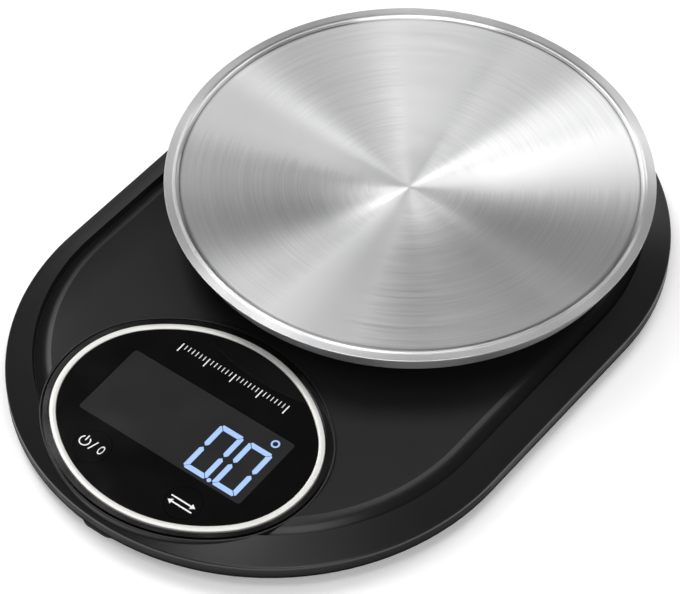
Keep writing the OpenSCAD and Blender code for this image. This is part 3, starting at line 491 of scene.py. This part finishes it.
def vary_housing_shine():
    """The side wall is duller than the top, the far left edge is dullest, and the rim catches light."""
    f = FINISHES["housing_black"]
    across, _, up = f.split(f.where)
    wall = f.spread(up, 1.0, 0.0, *WALL_SHINE_Z)
    left = f.spread(across, LEFT_DULL, 0.0, *LEFT_SHINE_X)
    right = f.spread(across, 0.0, RIGHT_DULL, *RIGHT_SHINE_X)
    fade = f.less(1.0, f.math("ADD", left, right), wall)
    far = f.math("MINIMUM", fade, f.spread(across, FAR_SHINE, 1.0, *FAR_SHINE_X))
    shine = f.spread(up, 0.0, HOUSING_SHINE, *FOOT_SHINE_Z)
    rim = f.bell(up, RIM_SHINE_Z, RIM_SHINE_W)
    shine = f.math("ADD", shine, f.math("MULTIPLY", rim, RIM_SHINE))
    f.to("Specular IOR Level", f.math("MULTIPLY", shine, far))


dull_panel_edges()
vary_housing_shine()
FINISHES["digit_blue"].set("Emission Color", (0.340, 0.505, 0.905, 1))
FINISHES["digit_blue"].set("Emission Strength", 0.95)

for node in nodes.values():
    for k, material in enumerate(node.data.materials):
        node.data.materials[k] = FINISHES[material.name.split(".")[0]].material


def finish(o, body, slot_name, *stands_for, material=None):
    """Gives a new piece its finish, its body and the nodes that it stands for."""
    o.data.materials.clear()
    o.data.materials.append((material or FINISHES[slot_name]).material)
    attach(o, body)
    if stands_for:
        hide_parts(*stands_for)
    return o


# ---------------------------------------------------------------- weighing plate

def plate_section():
    """The plate's section from its middle on top, round the rim, to its middle below."""
    curve = (DISH_CURVE_R - DISH_FLAT_R) / math.sin(DISH_SLOPE)
    slope = math.tan(DISH_SLOPE)
    dish_z = FIELD_Z - (FIELD_R - DISH_CURVE_R) * slope - curve * (1 - math.cos(DISH_SLOPE))
    inner_r = FIELD_R - 0.25
    under_r = FIELD_R - 0.3
    points = [(0.0, dish_z)] + [(r, dish_z) for r in (2.5, 5.0, 7.5)]
    for k in range(13):
        turn = DISH_SLOPE * k / 12
        points.append((DISH_FLAT_R + curve * math.sin(turn), dish_z + curve * (1 - math.cos(turn))))
    for k in range(1, 14):
        r = DISH_CURVE_R + (inner_r - DISH_CURVE_R) * k / 13
        points.append((r, FIELD_Z - (FIELD_R - r) * slope))
    # Crease, bead and flat rim
    points += [(74.20, 32.56), (74.32, 32.54), (74.42, 32.70), (74.50, 32.95)]
    points += arc((BEAD_R, BEAD_Z - BEAD_ROUND), BEAD_ROUND, math.radians(148), math.radians(52), 12)
    points += [(76.42, 33.215), (76.65, EDGE_Z), (76.9, EDGE_Z), (77.4, EDGE_Z)]
    # Rounded edge, skirt, its rolled lower edge, and back up inside
    lean = SKIRT_LEAN / (EDGE_Z - SKIRT_Z)
    low_r = PLATE_R - SKIRT_LEAN
    sheet = STEEL * 1.1
    points += rounded([(77.9, EDGE_Z, 0), (78.7, EDGE_Z, 0), (78.95, EDGE_Z, 0), (PLATE_R, EDGE_Z, 0.16),
                       (low_r, SKIRT_Z, 0.34), (low_r - sheet, SKIRT_Z, 0.34),
                       (PLATE_R - sheet - lean * STEEL, EDGE_Z - STEEL, 0.2),
                       (76.9, EDGE_Z - STEEL, 0)], 6)
    # Under the bead and the dish
    points += [(75.6, 33.0 - STEEL), (74.9, 32.4 - STEEL), (74.4, 32.7 - STEEL - 0.1)]
    for k in range(14):
        r = under_r - (under_r - DISH_CURVE_R) * k / 13
        points.append((r, FIELD_Z - STEEL - (FIELD_R - r) * slope))
    for k in range(12, -1, -1):
        turn = DISH_SLOPE * k / 12
        points.append((DISH_FLAT_R + curve * math.sin(turn),
                       dish_z - STEEL + curve * (1 - math.cos(turn))))
    points.append((0.0, dish_z - STEEL))
    return points


def make_plate():
    """The steel plate, turned about its own axis."""
    bm = bmesh.new()
    section = plate_section()
    steps = 360
    poles = [bm.verts.new((0, 0, section[0][1])), bm.verts.new((0, 0, section[-1][1]))]
    loops = [[bm.verts.new((x, y, z)) for x, y in circle_outline(r, steps)]
             for r, z in section[1:-1]]
    for a, b in zip(loops, loops[1:]):
        for k in range(steps):
            n = (k + 1) % steps
            bm.faces.new((a[k], a[n], b[n], b[k]))
    for pole, loop in zip(poles, (loops[0], loops[-1])):
        for k in range(steps):
            bm.faces.new((pole, loop[k], loop[(k + 1) % steps]))
    plate = piece("steel_plate", bm, Matrix.Translation((0, PLATE_Y * MM, 0)), sharp=40)
    return finish(plate, "platform", "plate_steel", "weighing_plate")


make_plate()


# ---------------------------------------------------------------- base

def make_cover():
    """The upper housing's shell: flat top, channel, sloping border, rim and inner faces."""
    mid_r = (BORDER_R + TOP_R) / 2
    axis_z = TOP_Z + 0.4
    slope = (BORDER_Z - RIM_Z) / (RIM_R - BORDER_R)
    inset_r = TOP_R - COVER_INSET
    section = rounded([(inset_r, TOP_Z, 0), (TOP_R, TOP_Z, 1.2), (TOP_R + 2.3, TOP_Z - 0.6, 5.0),
                       (BORDER_R - 0.5, TOP_Z - 3.6, 0.2), (BORDER_R, BORDER_Z, 0.0),
                       (BORDER_R + 0.3, BORDER_Z - 0.16, 0.0), (RIM_R, RIM_Z, 0.7),
                       (RIM_R - 0.02, SEAM_Z + 0.03, 0.1), (RIM_R - 0.5, SEAM_Z, 0.0),
                       (COVER_SEAT_R, SEAM_Z, 0)], 6)
    section += [(COVER_SEAT_R, RIM_Z + (RIM_R - COVER_SEAT_R) * slope - COVER_WALL - 0.2),
                (BORDER_R, BORDER_Z - COVER_WALL - 1.7), (mid_r, axis_z - CHANNEL_R - 2.4),
                (TOP_R, TOP_Z - COVER_WALL), (inset_r, TOP_Z - COVER_WALL)]
    cover = swept("base_cover", base_outline, section, closed=False, caps=(True, True))
    reach = COLLAR_OUT - 0.06
    hole = swept("cutter", oval_outline, [(reach, -12), (reach, 0), (reach, 20)], closed=False,
                 caps=(True, True), place=display_place())
    cut(cover, hole)
    post_hole = bmesh.new()
    prism(post_hole, rounded_rectangle(POST_HOLE_W, POST_HOLE_H, POST_HOLE_ROUND,
                                       (POST_HOLE_X, PLATE_Y)), 5, 20)
    cut(cover, piece("cutter", post_hole))
    cover.data.set_sharp_from_angle(angle=math.radians(30))
    return finish(cover, "base", "housing_black", "upper_housing")


def make_collar():
    """The upright wall round the display."""
    section = rounded([(COLLAR_LOW_IN, COLLAR_LOW, 0), (COLLAR_OUT, COLLAR_LOW, 0),
                       (COLLAR_OUT, COLLAR_TOP, 0.3), (COLLAR_IN, COLLAR_TOP, 0.14),
                       (COLLAR_IN, CAP_SEAT, 0), (COLLAR_LOW_IN, CAP_SEAT, 0)], 4)
    collar = swept("display_collar", oval_outline, section, place=display_place())
    below = bmesh.new()
    prism(below, [(-170, -240), (170, -240), (170, 240), (-170, 240)], -100, SEAM_Z + 0.6)
    cut(collar, piece("cutter", below))
    collar.data.set_sharp_from_angle(angle=math.radians(30))
    return finish(collar, "base", "housing_black")


make_cover()
make_collar()
soft_edges("lower_housing", 0.25)


# ---------------------------------------------------------------- display

def make_ring():
    """The silver ring, with a slightly raised face."""
    section = rounded([(-RING_W, -RING_DEEP, 0), (0, -RING_DEEP, 0), (0, 0, RING_ROUND),
                       (-RING_W / 2, 0.06, 2.5), (-RING_W, 0, RING_ROUND),
                       (-RING_W, -RING_DEEP, 0)], 5)[:-1]
    ring = swept("silver_ring", oval_outline, section, place=display_place(), sharp=40)
    return finish(ring, "base", "ring_silver", "display_ring")


make_ring()


def mark(name, shapes, body):
    """Printed shapes on the panel: each is a list of points in the display's plane."""
    bm = bmesh.new()
    for points in shapes:
        prism(bm, points, LENS_TOP - 0.02, LENS_TOP + 0.03)
    return finish(piece(name, bm, display_place()), body, None, material=MARK)


def bar(x, y, width, height):
    """A rectangle about its middle."""
    return [(x - width / 2, y - height / 2), (x + width / 2, y - height / 2),
            (x + width / 2, y + height / 2), (x - width / 2, y + height / 2)]


def band(centre, radius, width, first, last, steps=40):
    """A piece of a ring."""
    return (arc(centre, radius + width / 2, first, last, steps) +
            list(reversed(arc(centre, radius - width / 2, first, last, steps))))


def make_power_mark():
    """A power symbol, a slash and a nought."""
    x, y = POWER_MARK
    shapes = [band((x, y), POWER_R, POWER_LINE,
                   math.radians(90 + POWER_OPEN), math.radians(450 - POWER_OPEN)),
              bar(x, y + 1.25, POWER_LINE, 2.1),
              [(x + 2.5, y - 1.9), (x + 2.95, y - 1.9), (x + 4.15, y + 1.9), (x + 3.7, y + 1.9)]]
    for side in (1, -1):
        turn = math.pi / 2 * (1 - side)
        shapes.append([(x + 6.5 + 0.8 * a, y + 1.45 * b) for a, b in
                       band((0, 0), 1.0, 0.32, turn - math.pi / 2, turn + math.pi / 2, 20)])
    mark("power_mark", shapes, "power_button")


def make_unit_mark():
    """Two arrows that point apart."""
    x, y = UNIT_MARK
    arrows = []
    for side in (1, -1):
        line = y + side * ARROW_APART
        tail, tip = x - side * ARROW_REACH, x + side * ARROW_REACH
        neck = tip - side * ARROW_HEAD
        arrows.append([(tail, line - ARROW_LINE), (neck, line - ARROW_LINE),
                       (neck, line - ARROW_HEAD_W), (tip, line), (neck, line + ARROW_HEAD_W),
                       (neck, line + ARROW_LINE), (tail, line + ARROW_LINE)])
    mark("unit_mark", arrows, "unit_button")


def make_ticks():
    """A plain row of ticks, each seventh one long."""
    ticks = []
    for k in range(TICK_COUNT):
        long = k % TICK_LONG_EVERY == 0
        tall = TICK_LONG if long else TICK_SHORT
        width = TICK_LONG_W if long else TICK_SHORT_W
        ticks.append(bar(TICK_LEFT + k * TICK_PITCH, TICK_TOP - tall / 2, width, tall))
    mark("scale_ticks", ticks, "base")


make_power_mark()
make_unit_mark()
make_ticks()


def zero_bars(x, y):
    """The six lit bars of a nought, with cut corners, mitres and a pointed break at the middle."""
    w, h, s, c, g = DIGIT_W / 2, DIGIT_H / 2, DIGIT_STROKE, DIGIT_CHAMFER, DIGIT_GAP
    half = [(-w + c, h), (-w + c / 2 + g, h - c / 2), (-w + s + g, h - s)]
    top = half + [(-a, b) for a, b in reversed(half)]
    side = [(-w, h - c), (-w + c / 2, h - c / 2 - g), (-w + s, h - s - g),
            (-w + s, DIGIT_BREAK + s / 2), (-w + s / 2, DIGIT_BREAK), (-w, DIGIT_BREAK + s / 2)]
    bars = []
    for up in (1, -1):
        bars.append([(x + a, y + up * b) for a, b in top])
        for across in (1, -1):
            bars.append([(x + across * a, y + up * b) for a, b in side])
    return bars


def make_digits():
    """Two lit noughts with a point between them, and a small ring above."""
    bm = bmesh.new()
    shapes = zero_bars(DIGIT_RIGHT, DIGIT_BASE) + zero_bars(DIGIT_RIGHT - DIGIT_PITCH, DIGIT_BASE)
    point = (DIGIT_RIGHT - DIGIT_PITCH / 2, DIGIT_BASE - DIGIT_H / 2 + 0.6)
    shapes.append([(point[0] + a, point[1] + b) for a, b in circle_outline(POINT_R, 32)])
    at = (DIGIT_RIGHT + 2.2, WINDOW_H / 2 - 3.4)
    steps = 40
    outer, inner = circle_outline(STEADY_OUT_R, steps), circle_outline(STEADY_IN_R, steps)
    for k in range(steps):
        n = (k + 1) % steps
        shapes.append([(at[0] + a, at[1] + b) for a, b in (inner[k], outer[k], outer[n], inner[n])])
    for points in shapes:
        prism(bm, points, WINDOW_TOP, WINDOW_TOP + 0.1)
    return finish(piece("lit_figures", bm, display_place()), "base", "digit_blue", "lit_digits")


make_digits()


# ---------------------------------------------------------------- other edges

soft_edges("platform_tray", 0.25)
soft_edges("battery_door", 0.2)
soft_edges("rubber_feet", 0.4)


# ---------------------------------------------------------------- camera, floor and lights

scene = bpy.context.scene
scene.view_settings.view_transform = "Standard"

# Fitted to the photograph: how far round to the right of the front, how high, and how far away
CAMERA_ROUND, CAMERA_UP, CAMERA_AWAY = math.radians(37.69), math.radians(47.86), 1.037
CAMERA_TARGET = Vector((0.0015, -0.00415, 0.0098))
PICTURE_W, FOCAL, SENSOR_W = 680, 3230, 36

back = Vector((math.sin(CAMERA_ROUND) * math.cos(CAMERA_UP),
               -math.cos(CAMERA_ROUND) * math.cos(CAMERA_UP), math.sin(CAMERA_UP)))
lens = bpy.data.cameras.new("camera")
lens.sensor_fit = "HORIZONTAL"
lens.sensor_width = SENSOR_W
lens.lens = FOCAL / PICTURE_W * SENSOR_W
lens.clip_start, lens.clip_end = 0.05, 50
camera = bpy.data.objects.new("camera", lens)
scene.collection.objects.link(camera)
camera.location = CAMERA_TARGET + back * CAMERA_AWAY
camera.rotation_mode = "QUATERNION"
camera.rotation_quaternion = (-back).to_track_quat("-Z", "Y")
scene.camera = camera


def make_floor():
    """A plain white floor that can be looked through from below."""
    bm = bmesh.new()
    bmesh.ops.create_grid(bm, x_segments=8, y_segments=8, size=6000)
    floor = piece("floor", bm)
    f = Finish("floor_white", (0.92, 0.92, 0.92), 0.9, specular=0.0)
    slow = f.noise(3.0, 2.0)
    dark, light = (0.915, 0.915, 0.915, 1), (0.925, 0.925, 0.925, 1)
    f.to("Base Color", f.mix(f.spread(slow, 0, 1), dark, light))
    # It shows as white to the camera and in reflections, and keeps the shadow
    path = f.add("ShaderNodeLightPath")
    seen = f.math("MAXIMUM", path.outputs["Is Camera Ray"],
                  f.math("MAXIMUM", path.outputs["Is Glossy Ray"],
                         path.outputs["Is Transmission Ray"]))
    lift = f.add("ShaderNodeEmission")
    lift.inputs["Color"].default_value = (1, 1, 1, 1)
    f.link(f.math("MULTIPLY", seen, 0.17), lift.inputs["Strength"])
    both = f.add("ShaderNodeAddShader")
    f.link(f.shader.outputs["BSDF"], both.inputs[0])
    f.link(lift.outputs[0], both.inputs[1])
    # Clear from below
    clear = f.add("ShaderNodeBsdfTransparent")
    side = f.add("ShaderNodeMixShader")
    f.link(f.add("ShaderNodeNewGeometry").outputs["Backfacing"], side.inputs[0])
    f.link(both.outputs[0], side.inputs[1])
    f.link(clear.outputs[0], side.inputs[2])
    f.link(side.outputs[0], f.out.inputs["Surface"])
    floor.data.materials.append(f.material)


make_floor()

world = bpy.data.worlds.new("studio")
scene.world = world
world.use_nodes = True
sky = world.node_tree.nodes["Background"]
sky.inputs["Color"].default_value = (1, 1, 1, 1)
sky.inputs["Strength"].default_value = 0.06


def softbox(name, bearing, height, watts, width, tall):
    """A soft light that faces the object, bearing from +X and height above the floor in degrees."""
    light = bpy.data.lights.new(name, "AREA")
    light.shape = "RECTANGLE"
    light.size, light.size_y = width, tall
    light.energy = watts
    b, h = math.radians(bearing), math.radians(height)
    toward = Vector((math.cos(b) * math.cos(h), math.sin(b) * math.cos(h), math.sin(h)))
    o = bpy.data.objects.new(name, light)
    o.location = Vector(LIGHT_AIM) + toward * LIGHT_AWAY
    o.rotation_mode = "QUATERNION"
    o.rotation_quaternion = toward.to_track_quat("Z", "Y")
    scene.collection.objects.link(o)


for row in LIGHTS:
    softbox(*row)
